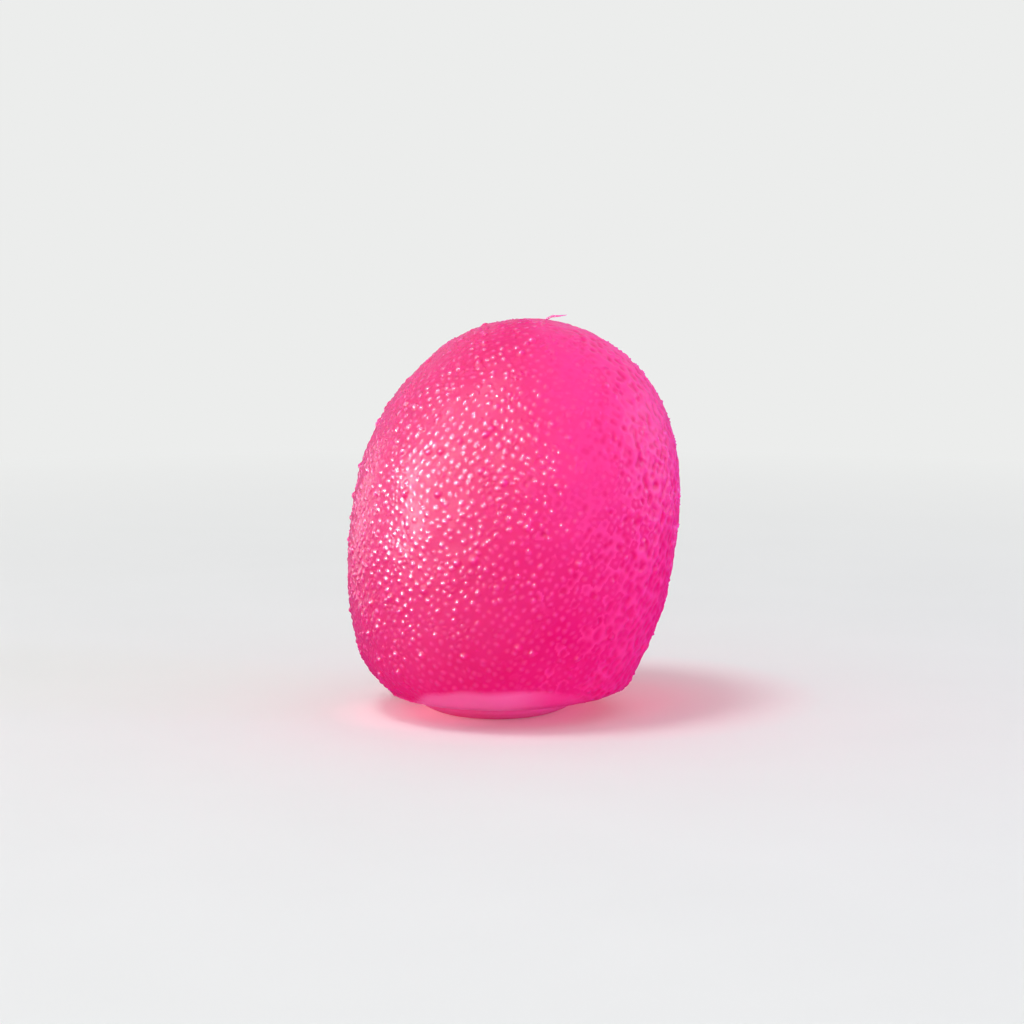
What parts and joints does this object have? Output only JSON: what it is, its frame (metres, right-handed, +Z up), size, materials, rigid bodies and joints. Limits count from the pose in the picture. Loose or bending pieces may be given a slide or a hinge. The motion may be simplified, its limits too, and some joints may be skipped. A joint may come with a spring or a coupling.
{
  "type": "finger exerciser",
  "caption": "Egg-shaped hand and finger exerciser with a pebbled soft skin, a gel filling and a smooth domed base plug; it leans a little to one side.",
  "frame": {"origin": "middle of the foot's flat contact patch, on the resting plane", "axes": "+Z up, +X the way the egg leans, +Y away from the viewer"},
  "size_m": [0.0482, 0.0476, 0.0572],
  "materials": {
    "skin": "glossy pebbled",
    "gel": "glossy translucent",
    "plug": "glossy smooth"
  },
  "bodies": {
    "base": {"base_plug": "plug", "gel_core": "gel"},
    "shell": {"textured_skin": "skin"}
  },
  "joints": [
    {"name": "press", "type": "slide", "parent": "base", "child": "shell", "axis": [-0.0941, 0, -0.9956], "range_m": [0, 0.0019], "stiffness_N_per_m": 1600, "deforming": ["gel_core"]}
  ]
}
